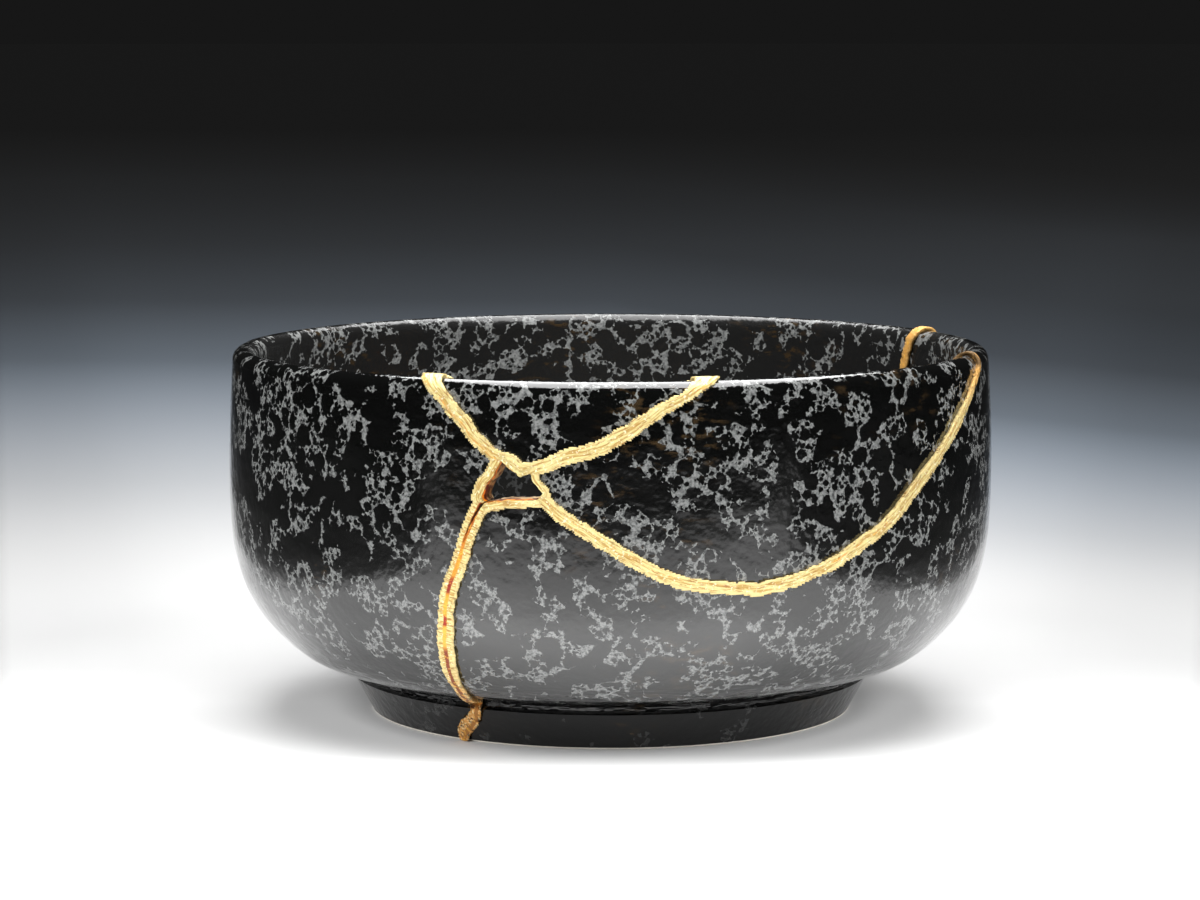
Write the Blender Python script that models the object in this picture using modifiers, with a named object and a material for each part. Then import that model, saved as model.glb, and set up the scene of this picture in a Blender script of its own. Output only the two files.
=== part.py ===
"""Kintsugi bowl: a thrown stoneware bowl, broken into sherds and joined again with gold lacquer.

Run with: blender --background --python part.py
Metres, +Z up.  The origin is the centre of the foot ring, on the surface the bowl stands on.
Angles go round the bowl in degrees: 0 faces -Y (the front), +90 faces +X.
"""
import math

import bmesh
import bpy
from mathutils import Vector

# ---------------------------------------------------------------- driving dimensions
MM = 0.001
BELLY_RADIUS = 90.0 * MM
RIM_HEIGHT = 86.0 * MM
WALL = 5.5 * MM              # thickness of the wall, and the width of the rounded rim
FLOOR_HEIGHT = 14.3 * MM     # flat well of the bowl, inside
WELL_RADIUS = 24.0 * MM      # radius of that flat
FLOOR_EDGE = (48.0 * MM, 15.3 * MM)   # (radius, height) where the floor starts to curve up
RECESS_HEIGHT = 8.0 * MM     # underside of the base, inside the foot ring
FOOT_NECK = 61.8 * MM        # foot ring where it leaves the bowl
FOOT_OUTER = 56.4 * MM       # foot ring where it stands
FOOT_INNER = 52.4 * MM
FOOT_EASE = 0.7 * MM         # eased edges of the ring
FOOT_COVE = 1.4 * MM         # height of the coves at the top of the ring, outside and inside
COVE_WIDTH = 1.6 * MM        # the cove inside the ring is this wide, and so is the taper under it
RIM_STEPS = 4                # faces round the rim's half circle
TURN_STEPS = 56              # faces round the bowl
MERGE_DISTANCE = 0.01 * MM
FLAT_ANGLE = math.radians(0.05)      # faces closer to one plane than this are joined
SMOOTH_ANGLE = math.radians(35.0)    # edges sharper than this stay sharp

SEAM_WIDTH = 4.0 * MM        # gold line on the surface
LIP_WIDTH = 2.4 * MM         # narrower gold line round the missing chip
SEAM_PROUD = 0.8 * MM        # how far the gold stands up from the glaze
CRACK_FILL = 1.0 * MM        # gold lacquer that fills the crack itself
CLEARANCE = 0.3 * MM         # between the gold and each sherd
FOOT_RELIEF = 0.2 * MM       # the gold stops this far above the surface the bowl stands on

RULE_OUTSIDE = 98.0 * MM     # a crack in the upright wall is ruled from here ...
RULE_INSIDE = 74.0 * MM      # ... to here, straight towards the axis
RULE_ABOVE = 24.0 * MM       # a crack in the base is ruled upright between these heights
RULE_BELOW = -6.0 * MM

# Outer wall below the rim, as (radius, height): straight side, round belly, flat shoulder
# over the foot.
OUTER_WALL = [(89.1, 83.25), (89.9, 66.0), (89.8, 49.0), (88.5, 36.5), (85.6, 28.4), (81.0, 21.7),
              (75.3, 16.4), (69.5, 13.0), (64.0, 11.9)]
# Cracks in the upright wall, as (angle, height), carried on past the rim.
RIM_LEFT_CRACK = [(-30.5, 92.0), (-23.0, 80.4), (-18.6, 73.0), (-15.1, 69.3)]
RIM_FRONT_CRACK = [(20.0, 91.0), (12.5, 84.9), (6.0, 79.8), (0.0, 73.4), (-5.5, 70.5), (-10.8, 67.3)]
SWEEPING_CRACK = [(-9.8, 60.9), (-6.5, 57.0), (3.5, 47.5), (12.0, 42.1), (21.0, 40.6), (29.0, 43.2),
                  (38.0, 49.2), (46.0, 56.2), (54.0, 65.2), (63.0, 75.2), (70.5, 83.7), (77.0, 91.5)]
# Corners of the opening that the missing chip leaves in the outer face.
CHIP_CORNERS = [(-15.0, 69.1), (-12.5, 65.8), (-10.9, 66.8), (-9.7, 62.0), (-10.4, 60.3),
                (-17.3, 59.8), (-18.0, 61.4), (-16.6, 65.0)]
# The long crack runs from the chip down the front, across the base and up the back.
# Upright part at the front and at the back, as (angle, height).
LONG_FRONT = [(-17.6, 60.0), (-19.2, 56.0), (-20.6, 51.0), (-22.4, 44.0), (-23.4, 39.5)]
LONG_BACK = [(123.4, 40.0), (122.2, 52.0), (120.6, 66.0), (118.9, 78.0), (116.8, 84.3), (113.5, 92.0)]
# Round the belly and the foot it is ruled across the wall between two (radius, height) points.
ROUND_RULES = [((95.0, 31.0), (74.0, 37.4)), ((91.7, 23.0), (73.0, 33.0)), ((86.0, 15.3), (70.0, 29.0)),
               ((81.0, 10.8), (67.0, 27.5)), ((75.0, 5.0), (64.0, 25.5)), ((67.0, 1.0), (61.0, 24.5)),
               ((63.0, -4.0), (59.0, 24.0)), ((58.0, -6.0), (56.0, 24.0)), ((50.0, -6.0), (50.0, 24.0))]
ROUND_FRONT_ANGLES = [-24.3, -25.3, -26.0, -26.1, -26.6, -28.0, -29.2, -34.8, -36.0]
ROUND_BACK_ANGLES = [125.0, 126.6, 128.0, 129.0, 130.0, 131.2, 132.2, 134.0, 135.0]
# Across the base, in plan.
BASE_CROSSING = [(-22.0, -30.0), (-8.0, -12.0), (5.0, 1.0), (14.0, 16.0), (27.0, 29.0)]

GLAZE_COLOUR = (0.018, 0.018, 0.016, 1.0)
GOLD_COLOUR = (0.88, 0.66, 0.27, 1.0)


# ---------------------------------------------------------------- small helpers
def at_angle(degrees, radius, height):
    """Point at an angle round the bowl."""
    turn = math.radians(degrees)
    return Vector((radius * math.sin(turn), -radius * math.cos(turn), height))


def offset_line(points, distance, closed=False):
    """Move a 2D line sideways, to its left as it runs, with mitred corners."""
    moved = []
    count = len(points)
    for i, point in enumerate(points):
        before = points[i - 1] if i > 0 or closed else None
        after = points[(i + 1) % count] if i < count - 1 or closed else None
        into = (point - before).normalized() if before is not None else None
        out = (after - point).normalized() if after is not None else into
        into = out if into is None else into
        normal_in = Vector((-into.y, into.x))
        normal_out = Vector((-out.y, out.x))
        middle = (normal_in + normal_out).normalized()
        moved.append(point + middle * (distance / middle.dot(normal_in)))
    return moved


def new_object(name, mesh, collection):
    thing = bpy.data.objects.new(name, mesh)
    collection.objects.link(thing)
    return thing


def mesh_from_faces(name, verts, faces):
    mesh = bpy.data.meshes.new(name)
    mesh.from_pydata([tuple(v) for v in verts], [], faces)
    mesh.validate()
    return mesh


def evaluated_mesh(thing):
    """The object's mesh with its modifiers applied, as new data."""
    bpy.context.view_layer.update()
    graph = bpy.context.evaluated_depsgraph_get()
    return bpy.data.meshes.new_from_object(thing.evaluated_get(graph))


def bake_modifiers(thing):
    baked = evaluated_mesh(thing)
    thing.modifiers.clear()
    thing.data = baked


def combine(target, tool, operation, solver='EXACT'):
    """Boolean the tool into the target and keep the result as the target's mesh."""
    boolean = target.modifiers.new(operation.title(), 'BOOLEAN')
    boolean.operation = operation
    boolean.solver = solver
    boolean.object = tool
    bake_modifiers(target)


def merge_flat_faces(thing):
    """Join faces that lie in one plane, so that the solid has no needless triangles."""
    shape = bmesh.new()
    shape.from_mesh(thing.data)
    bmesh.ops.dissolve_limit(shape, angle_limit=FLAT_ANGLE, verts=shape.verts, edges=shape.edges)
    shape.to_mesh(thing.data)
    shape.free()


def hide_cutter(thing):
    thing.hide_render = True
    thing.display_type = 'WIRE'
    return thing


# ---------------------------------------------------------------- the turned form
def bowl_profile():
    """Half section, from the middle of the well up the inside, over the rim and down to the foot."""
    wall = [Vector((r * MM, h * MM)) for r, h in OUTER_WALL]
    inner = offset_line(wall, -WALL)
    inner.reverse()
    well = [Vector((0.0, FLOOR_HEIGHT)), Vector((WELL_RADIUS, FLOOR_HEIGHT)), Vector(FLOOR_EDGE)]
    rim_centre = Vector((wall[0].x - WALL / 2, RIM_HEIGHT - WALL / 2))
    rim = []
    for step in range(1, RIM_STEPS):
        turn = math.pi * (1 - step / RIM_STEPS)
        rim.append(rim_centre + Vector((math.cos(turn), math.sin(turn))) * WALL / 2)
    foot = [(FOOT_NECK, wall[-1].y - FOOT_COVE), (FOOT_OUTER + FOOT_EASE, FOOT_EASE),
            (FOOT_OUTER, 0.0), (FOOT_INNER, 0.0), (FOOT_INNER - FOOT_EASE, FOOT_EASE),
            (FOOT_INNER - COVE_WIDTH, RECESS_HEIGHT - FOOT_COVE),
            (FOOT_INNER - 2 * COVE_WIDTH, RECESS_HEIGHT), (0.0, RECESS_HEIGHT)]
    return well + inner + rim + wall + [Vector(p) for p in foot]


def turned_bowl(name, grown, collection):
    """The whole bowl as one solid of revolution, with its skin grown by a distance."""
    profile = offset_line(bowl_profile(), grown)
    profile[0].x = 0.0
    profile[-1].x = 0.0
    edges = [(i, i + 1) for i in range(len(profile) - 1)]
    mesh = bpy.data.meshes.new(name)
    mesh.from_pydata([(p.x, 0.0, p.y) for p in profile], edges, [])
    bowl = new_object(name, mesh, collection)
    screw = bowl.modifiers.new('Turn', 'SCREW')
    screw.axis = 'Z'
    screw.angle = math.tau
    screw.steps = TURN_STEPS
    screw.render_steps = TURN_STEPS
    screw.use_merge_vertices = True
    screw.merge_threshold = MERGE_DISTANCE
    bake_modifiers(bowl)
    return bowl


# ---------------------------------------------------------------- cracks as slabs through the wall
def upright_rules(path):
    """Rules across the upright wall for a path of (angle, height) points."""
    rules = []
    for angle, height in path:
        outside = at_angle(angle, RULE_OUTSIDE, height * MM)
        rules.append((outside, at_angle(angle, RULE_INSIDE, height * MM)))
    return rules


def round_rules(angles):
    """Rules across the belly and the foot, one angle for each."""
    rules = []
    for angle, (outside, inside) in zip(angles, ROUND_RULES):
        rules.append((at_angle(angle, outside[0] * MM, outside[1] * MM),
                      at_angle(angle, inside[0] * MM, inside[1] * MM)))
    return rules


def long_crack_rules():
    base = []
    for x, y in BASE_CROSSING:
        base.append((Vector((x * MM, y * MM, RULE_BELOW)), Vector((x * MM, y * MM, RULE_ABOVE))))
    back = round_rules(ROUND_BACK_ANGLES)
    back.reverse()
    return (upright_rules(LONG_FRONT) + round_rules(ROUND_FRONT_ANGLES) + base + back
            + upright_rules(LONG_BACK))


def chip_rules(outset):
    """Rules round the missing chip, moved outwards from the corners of the opening."""
    flat = [Vector((math.radians(angle) * BELLY_RADIUS, height * MM)) for angle, height in CHIP_CORNERS]
    rules = []
    for point in offset_line(flat, outset, closed=True):
        angle = math.degrees(point.x / BELLY_RADIUS)
        rules.append((at_angle(angle, RULE_OUTSIDE, point.y), at_angle(angle, RULE_INSIDE, point.y)))
    return rules


def slab(name, rules, width, closed, collection):
    """Sheet ruled along the given lines, thickened evenly to both sides."""
    verts = [corner for rule in rules for corner in rule]
    count = len(rules)
    faces = []
    for i in range(count if closed else count - 1):
        j = (i + 1) % count
        faces.append((2 * i, 2 * i + 1, 2 * j + 1))
        faces.append((2 * i, 2 * j + 1, 2 * j))
    sheet = new_object(name, mesh_from_faces(name, verts, faces), collection)
    thick = sheet.modifiers.new('Thickness', 'SOLIDIFY')
    thick.thickness = width
    thick.offset = 0.0
    thick.use_even_offset = True
    bake_modifiers(sheet)
    return hide_cutter(sheet)


def crack_network(name, width, lip_width, lip_outset, collection):
    """All the cracks and the edge of the missing chip as one cutter."""
    network = slab(name, long_crack_rules(), width, False, collection)
    cracks = [upright_rules(RIM_LEFT_CRACK), upright_rules(RIM_FRONT_CRACK), upright_rules(SWEEPING_CRACK)]
    pieces = [slab(name + '_arm', rules, width, False, collection) for rules in cracks]
    pieces.append(slab(name + '_lip', chip_rules(lip_outset), lip_width, True, collection))
    for piece in pieces:
        combine(network, piece, 'UNION')
        bpy.data.objects.remove(piece)
    return network


def chip_plug(name, collection):
    """Solid that fills the opening of the missing chip, through the wall."""
    rules = chip_rules(0.0)
    count = len(rules)
    verts = [rule[0] for rule in rules] + [rule[1] for rule in rules]
    faces = [tuple(range(count - 1, -1, -1)), tuple(range(count, 2 * count))]
    faces += [(i, (i + 1) % count, count + (i + 1) % count, count + i) for i in range(count)]
    mesh = mesh_from_faces(name, verts, faces)
    shape = bmesh.new()
    shape.from_mesh(mesh)
    bmesh.ops.recalc_face_normals(shape, faces=shape.faces)
    bmesh.ops.triangulate(shape, faces=shape.faces)
    shape.to_mesh(mesh)
    shape.free()
    return hide_cutter(new_object(name, mesh, collection))


# ---------------------------------------------------------------- materials
def plain_material(name, colour, roughness, metallic):
    material = bpy.data.materials.new(name)
    material.use_nodes = True
    shader = material.node_tree.nodes['Principled BSDF']
    shader.inputs['Base Color'].default_value = colour
    shader.inputs['Roughness'].default_value = roughness
    shader.inputs['Metallic'].default_value = metallic
    return material


def shade_round(thing):
    thing.data.shade_smooth()
    thing.data.set_sharp_from_angle(angle=SMOOTH_ANGLE)


# ---------------------------------------------------------------- the pieces
# Each sherd is known by a place on its outer face, as (angle, height).
SHERDS = {
    'sherd_left_and_back': (-90.0, 60.0),
    'sherd_front_rim': (-10.0, 78.0),
    'sherd_front_right': (35.0, 70.0),
    'sherd_lower_right': (60.0, 45.0),
}


def loose_parts(mesh):
    """Split a mesh into its separate bodies."""
    shape = bmesh.new()
    shape.from_mesh(mesh)
    waiting = set(shape.verts)
    groups = []
    while waiting:
        seed = waiting.pop()
        group = {seed}
        edge_of_group = [seed]
        while edge_of_group:
            vert = edge_of_group.pop()
            for edge in vert.link_edges:
                other = edge.other_vert(vert)
                if other in waiting:
                    waiting.discard(other)
                    group.add(other)
                    edge_of_group.append(other)
        groups.append({vert.index for vert in group})
    shape.free()
    return groups


def part_mesh(mesh, keep, name):
    """Copy of the mesh with only the given vertices."""
    shape = bmesh.new()
    shape.from_mesh(mesh)
    shape.verts.ensure_lookup_table()
    bmesh.ops.delete(shape, geom=[v for v in shape.verts if v.index not in keep], context='VERTS')
    part = bpy.data.meshes.new(name)
    shape.to_mesh(part)
    shape.free()
    return part


def make_sherds(parts, cutters):
    whole = turned_bowl('whole_bowl', 0.0, cutters)
    gap = crack_network('crack_gap', CRACK_FILL + 2 * CLEARANCE, CRACK_FILL + 2 * CLEARANCE,
                        CRACK_FILL / 2, cutters)
    combine(whole, gap, 'DIFFERENCE', 'MANIFOLD')
    groups = loose_parts(whole.data)
    glaze = plain_material('mottled_black_glaze', GLAZE_COLOUR, 0.12, 0.0)
    for name, (angle, height) in SHERDS.items():
        place = at_angle(angle, BELLY_RADIUS, height * MM)
        nearest = min(groups, key=lambda g: min((whole.data.vertices[i].co - place).length for i in g))
        sherd = new_object(name, part_mesh(whole.data, nearest, name), parts)
        merge_flat_faces(sherd)
        sherd.data.materials.clear()
        sherd.data.materials.append(glaze)
        shade_round(sherd)
    hide_cutter(whole)


def ground_block(cutters):
    """Block whose top is where the gold stops, just above the surface the bowl stands on."""
    side = 2 * RULE_OUTSIDE
    bpy.ops.mesh.primitive_cube_add(size=side, location=(0.0, 0.0, FOOT_RELIEF - side / 2))
    ground = bpy.context.object
    ground.name = 'ground_relief'
    bpy.context.collection.objects.unlink(ground)
    cutters.objects.link(ground)
    return hide_cutter(ground)


def make_gold(parts, cutters):
    gold = turned_bowl('gold_lacquer_seam', SEAM_PROUD, parts)
    bead = crack_network('crack_bead', SEAM_WIDTH, LIP_WIDTH, LIP_WIDTH / 2, cutters)
    combine(gold, bead, 'INTERSECT', 'MANIFOLD')
    clay = turned_bowl('clay_with_clearance', CLEARANCE, cutters)
    fill = crack_network('crack_fill', CRACK_FILL, CRACK_FILL, CRACK_FILL / 2, cutters)
    combine(clay, fill, 'DIFFERENCE', 'MANIFOLD')
    combine(gold, clay, 'DIFFERENCE', 'MANIFOLD')
    combine(gold, chip_plug('chip_plug', cutters), 'DIFFERENCE', 'MANIFOLD')
    combine(gold, ground_block(cutters), 'DIFFERENCE', 'MANIFOLD')
    merge_flat_faces(gold)
    hide_cutter(clay)
    gold.data.materials.clear()
    gold.data.materials.append(plain_material('gold_lacquer', GOLD_COLOUR, 0.45, 1.0))
    shade_round(gold)


def main():
    for thing in list(bpy.data.objects):
        bpy.data.objects.remove(thing)
    parts = bpy.data.collections.new('kintsugi_bowl')
    cutters = bpy.data.collections.new('cutters')
    bpy.context.scene.collection.children.link(parts)
    bpy.context.scene.collection.children.link(cutters)
    make_sherds(parts, cutters)
    make_gold(parts, cutters)


main()
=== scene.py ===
"""Finish of a kintsugi bowl: mottled black glaze, brushed gold lacquer seams, pale floor, soft light.

Metres, +Z up, in the CAD's frame.  Angles go round the bowl in degrees: 0 faces -Y (the front),
+90 faces +X.  Lists of sizes are in millimetres.
"""
import math

import bmesh
import bpy
import numpy as np
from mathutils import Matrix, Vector, noise
from mathutils.bvhtree import BVHTree


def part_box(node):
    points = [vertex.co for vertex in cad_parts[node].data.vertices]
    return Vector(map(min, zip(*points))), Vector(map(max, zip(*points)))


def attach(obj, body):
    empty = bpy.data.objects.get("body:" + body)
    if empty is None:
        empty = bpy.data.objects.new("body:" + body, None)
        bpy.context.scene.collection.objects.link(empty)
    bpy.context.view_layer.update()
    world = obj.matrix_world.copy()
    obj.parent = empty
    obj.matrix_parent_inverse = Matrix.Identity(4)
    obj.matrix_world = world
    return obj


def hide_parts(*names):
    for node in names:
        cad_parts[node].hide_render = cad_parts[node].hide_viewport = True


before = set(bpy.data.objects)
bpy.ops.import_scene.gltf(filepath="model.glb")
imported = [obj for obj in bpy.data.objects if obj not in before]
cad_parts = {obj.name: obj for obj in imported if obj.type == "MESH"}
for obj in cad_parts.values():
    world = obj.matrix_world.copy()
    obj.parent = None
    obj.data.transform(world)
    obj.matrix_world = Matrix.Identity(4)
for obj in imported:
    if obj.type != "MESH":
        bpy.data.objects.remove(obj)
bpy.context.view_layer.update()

noise.seed_set(1)  # or noise_vector takes its seed from the clock

# ---------------------------------------------------------------- sizes
MM = 0.001
BODY = "root"
BOWL_LOW, BOWL_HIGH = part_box("sherd_left_and_back")
RIM_HEIGHT = BOWL_HIGH.z / MM  # the CAD sherds set the height and the belly
BELLY_RADIUS = -BOWL_LOW.x / MM
WALL = 5.5  # thickness of the wall, and the width of the rounded rim
RECESS_HEIGHT = 8.0  # underside of the base, inside the foot ring
FOOT_OUTER = 56.4  # foot ring where it stands
FOOT_INNER = 52.4
RECESS_SLOPE = 6.0  # from the foot ring to the flat of the recess
FOOT_EASE = 0.6
BARE_FOOT = 0.5  # unglazed edge the bowl stands on
COLUMNS = 520  # faces round the glazed bowl
GLAZE_STEPS = (1.05, 2.2)  # faces along its section, on the wall and on the flats
CORE_STEPS, CORE_COLUMNS = (2.0, 6.0), 180  # the same for the plain bowl that trims the gold
SHARP = math.radians(38.0)  # edges bent more than this stay sharp
# Slow unevenness of the thrown wall, which the glaze and the gold share.
SWELL = {'swell_size': 38.0 * MM, 'swell_depth': 0.4 * MM, 'swell_seed': 2.0, 'flat_below': 1.0 * MM}
DIMPLE_SIZE = 6.5  # the glaze's dimples
DIMPLE_DEPTH = 0.14

# Outer wall below the rim, as (radius, height).
OUTER_WALL = [(BELLY_RADIUS - 0.8, RIM_HEIGHT - WALL / 2), (BELLY_RADIUS - 0.3, 74.0),
              (BELLY_RADIUS + 0.05, 62.0), (BELLY_RADIUS, 50.0), (89.0, 39.0), (86.9, 31.0),
              (83.2, 24.2), (78.2, 18.6), (72.6, 14.2), (68.0, 12.4), (64.0, 11.9)]
INNER_FLOOR = [(0.0, 14.3), (24.0, 14.3), (40.0, 14.75), (52.0, 15.8)]
FOOT_NECK = [(62.0, 11.7), (60.7, 11.0), (60.1, 10.2), (60.2, 9.5), (60.7, 9.0)]
FOOT_SHOULDER = (61.5, 8.7)  # top edge of the foot ring's outer wall

# Cracks in the upright wall, as (angle, height), carried on past the rim, and how far each wanders.
UPRIGHT_CRACKS = {
    'rim_left': ([(-30.1, 92.0), (-25.6, 85.2), (-22.5, 80.3), (-20.2, 76.6), (-18.1, 73.0),
                  (-16.3, 70.7), (-15.0, 69.6), (-14.1, 68.6)], 0.35),
    'chip_top': ([(-15.0, 69.7), (-13.6, 69.1), (-12.2, 67.5), (-10.8, 67.5)], 0.2),
    'rim_front': ([(19.0, 90.8), (12.5, 84.8), (9.3, 82.2), (6.1, 79.6), (2.9, 76.1), (-0.2, 73.1),
                   (-3.4, 71.3), (-6.5, 69.9), (-8.8, 68.5), (-10.4, 67.4), (-11.6, 66.4)], 0.35),
    'sweeping': ([(-9.6, 61.0), (-8.2, 59.3), (-6.8, 57.6), (-1.6, 52.6), (3.5, 47.6), (7.9, 44.0),
                  (12.4, 42.2), (16.6, 41.4), (21.0, 40.9), (25.5, 41.9), (30.8, 44.4), (37.7, 49.2),
                  (42.5, 53.1), (46.9, 58.4), (53.6, 65.7), (62.3, 75.3), (69.6, 83.5),
                  (76.0, 91.5)], 0.3),
}
LONG_WANDER = 0.3
OPEN_SLIT = [(-17.6, 60.0), (-18.8, 57.0), (-19.8, 54.0), (-20.4, 51.2)]  # the long crack's open start
SLIT_HALF = (0.42, 0.06)  # half its width at its top and at its end
# The long crack: down the front, across the base and up the back.
LONG_FRONT = [(-17.8, 59.6), (-18.8, 56.4), (-20.3, 51.0), (-21.5, 45.5), (-23.0, 39.5)]
LONG_BACK = [(123.4, 40.0), (122.2, 52.0), (120.6, 66.0), (118.9, 78.0), (116.8, 84.3), (113.5, 92.0)]
# Round the belly and the foot it is ruled across the wall between two (radius, height) points.
ROUND_RULES = [((95.0, 31.0), (74.0, 37.4)), ((91.7, 23.0), (73.0, 33.0)), ((86.0, 15.3), (70.0, 29.0)),
               ((81.0, 10.8), (67.0, 27.5)), ((75.0, 5.0), (64.0, 25.5)), ((67.0, 1.0), (61.0, 24.5)),
               ((63.0, -4.0), (59.0, 24.0)), ((58.0, -6.0), (56.0, 24.0)), ((50.0, -6.0), (50.0, 24.0))]
ROUND_FRONT_ANGLES = [-23.9, -24.8, -25.6, -25.9, -26.5, -28.0, -29.2, -34.8, -36.0]
ROUND_BACK_ANGLES = [125.0, 126.6, 128.0, 129.0, 130.0, 131.2, 132.2, 134.0, 135.0]
BASE_CROSSING = [(-22.0, -30.0), (-8.0, -12.0), (5.0, 1.0), (14.0, 16.0), (27.0, 29.0)]
# Corners of the opening that the missing chip leaves in the outer face.
CHIP_CORNERS = [(-15.0, 69.1), (-13.8, 67.5), (-12.3, 65.8), (-10.9, 66.6), (-10.4, 64.6), (-9.2, 62.2),
                (-9.9, 60.7), (-12.6, 60.6), (-14.8, 60.4), (-17.4, 59.8), (-18.0, 61.2), (-17.2, 63.9),
                (-16.5, 65.2)]
RAGGED = 0.22  # how ragged its outline is
BROKEN = 0.25  # how rough the clay is where it broke
LINED = 0.1  # and the lacquer in the slit and round the opening
WANDER_WAVES, BREAK_WAVES = 260.0, 700.0  # bumps of a crack and of a break, in a metre
DEGREE = math.radians(1.0) * BELLY_RADIUS  # width of one degree on the belly
# The cracks are ruled through the wall between these radii, and through the base between these heights.
RULE_OUTSIDE, RULE_INSIDE = 98.0, 74.0
RULE_ABOVE, RULE_BELOW = 24.0, -6.0

SEAM_PROUD = 0.7  # how far the gold stands up from the glaze, brush marks and all
BEAD = 0.62  # how far without its brush marks
SEAM_ROOT = 0.9  # and how far it is keyed into the clay
SEAM_STEP = 0.35  # faces of the gold skin
CRACK_GAP = 0.8  # between the sherds
CRACK_FILL = 0.5  # lacquer through the wall
CHIP_GAP = 0.9  # the opening in the sherds, wider than the opening in the gold
LINING = 1.0  # lacquer round the opening
FOOT_RELIEF = 0.2  # the gold stops this far above the floor
WELL_RADIUS = 47.2  # the gold's skin is laid in plan inside it and as turned outside it
SKIN_OVERLAP = 1.2  # how far the two run over each other
SKIN_BOTTOM = 0.3  # the skin starts above this height
HIDDEN_STEP = 0.5  # faces of the skin in the well and underneath
SKIN_JOIN = -100.0  # angle where the skin's grid closes, away from every seam
TUCKED = 0.03  # the skins in plan lie this much lower, under the turned ones
# Brush ridges, their spacing in the millimetres of the 'brush' marks, and the powder's grains.
BRUSHING = {'ridge_depth': 0.22 * MM, 'ridge_spacing': 0.9, 'grain_depth': 0.14 * MM,
            'grain_size': 0.8 * MM}


# ---------------------------------------------------------------- lines and small helpers
def smooth_line(points, step):
    """Points at most a step apart along a smooth curve through the given points."""
    knots = np.array(points, float)
    gaps = np.linalg.norm(np.diff(knots, axis=0), axis=1)
    slopes = np.gradient(knots, np.concatenate([[0.0], np.cumsum(gaps)]), axis=0)
    pieces = [knots[:1]]
    for i, gap in enumerate(gaps):
        t = np.linspace(0.0, 1.0, max(1, math.ceil(gap / step)) + 1)[1:, None]
        ease = t * t * (3 - 2 * t)
        pieces.append((1 - ease) * knots[i] + ease * knots[i + 1]
                      + gap * t * (1 - t) ** 2 * slopes[i] - gap * t * t * (1 - t) * slopes[i + 1])
    return np.vstack(pieces)


def offset_line(points, distance):
    """Move a 2D line sideways, to its left as it runs."""
    line = np.array(points, float)
    run = np.gradient(line, axis=0)
    run /= np.linalg.norm(run, axis=1, keepdims=True)
    return line + distance * np.column_stack([-run[:, 1], run[:, 0]])


def arc(centre, radius, start, end, steps):
    """Points on a round corner, angles in degrees from +X."""
    turns = np.radians(np.linspace(start, end, steps + 1))
    return np.column_stack([centre[0] + radius * np.cos(turns), centre[1] + radius * np.sin(turns)])


def at_angle(degrees, radius, height):
    """Point at an angle round the bowl, from millimetres."""
    turn = math.radians(degrees)
    return Vector((radius * math.sin(turn), -radius * math.cos(turn), height)) * MM


def angle_of(point):
    return math.degrees(math.atan2(point.x, -point.y))


def new_object(name, mesh):
    thing = bpy.data.objects.new(name, mesh)
    bpy.context.scene.collection.objects.link(thing)
    return thing


def mesh_from_faces(name, verts, faces):
    mesh = bpy.data.meshes.new(name)
    mesh.from_pydata([tuple(v) for v in verts], [], [tuple(f) for f in faces])
    return mesh


def bake_modifiers(thing):
    """Turn the evaluated object into a plain mesh and drop its modifiers."""
    bpy.context.view_layer.update()
    graph = bpy.context.evaluated_depsgraph_get()
    baked = bpy.data.meshes.new_from_object(thing.evaluated_get(graph))
    thing.modifiers.clear()
    thing.data = baked


def combine(target, tool, operation):
    """Boolean a closed tool into a closed target; the tool is used up."""
    boolean = target.modifiers.new(operation.title(), 'BOOLEAN')
    boolean.operation = operation
    boolean.solver = 'MANIFOLD'
    boolean.material_mode = 'TRANSFER'
    boolean.object = tool
    bake_modifiers(target)
    bpy.data.objects.remove(tool)


def face_outwards(mesh):
    shape = bmesh.new()
    shape.from_mesh(mesh)
    bmesh.ops.recalc_face_normals(shape, faces=shape.faces)
    shape.to_mesh(mesh)
    shape.free()


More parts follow.
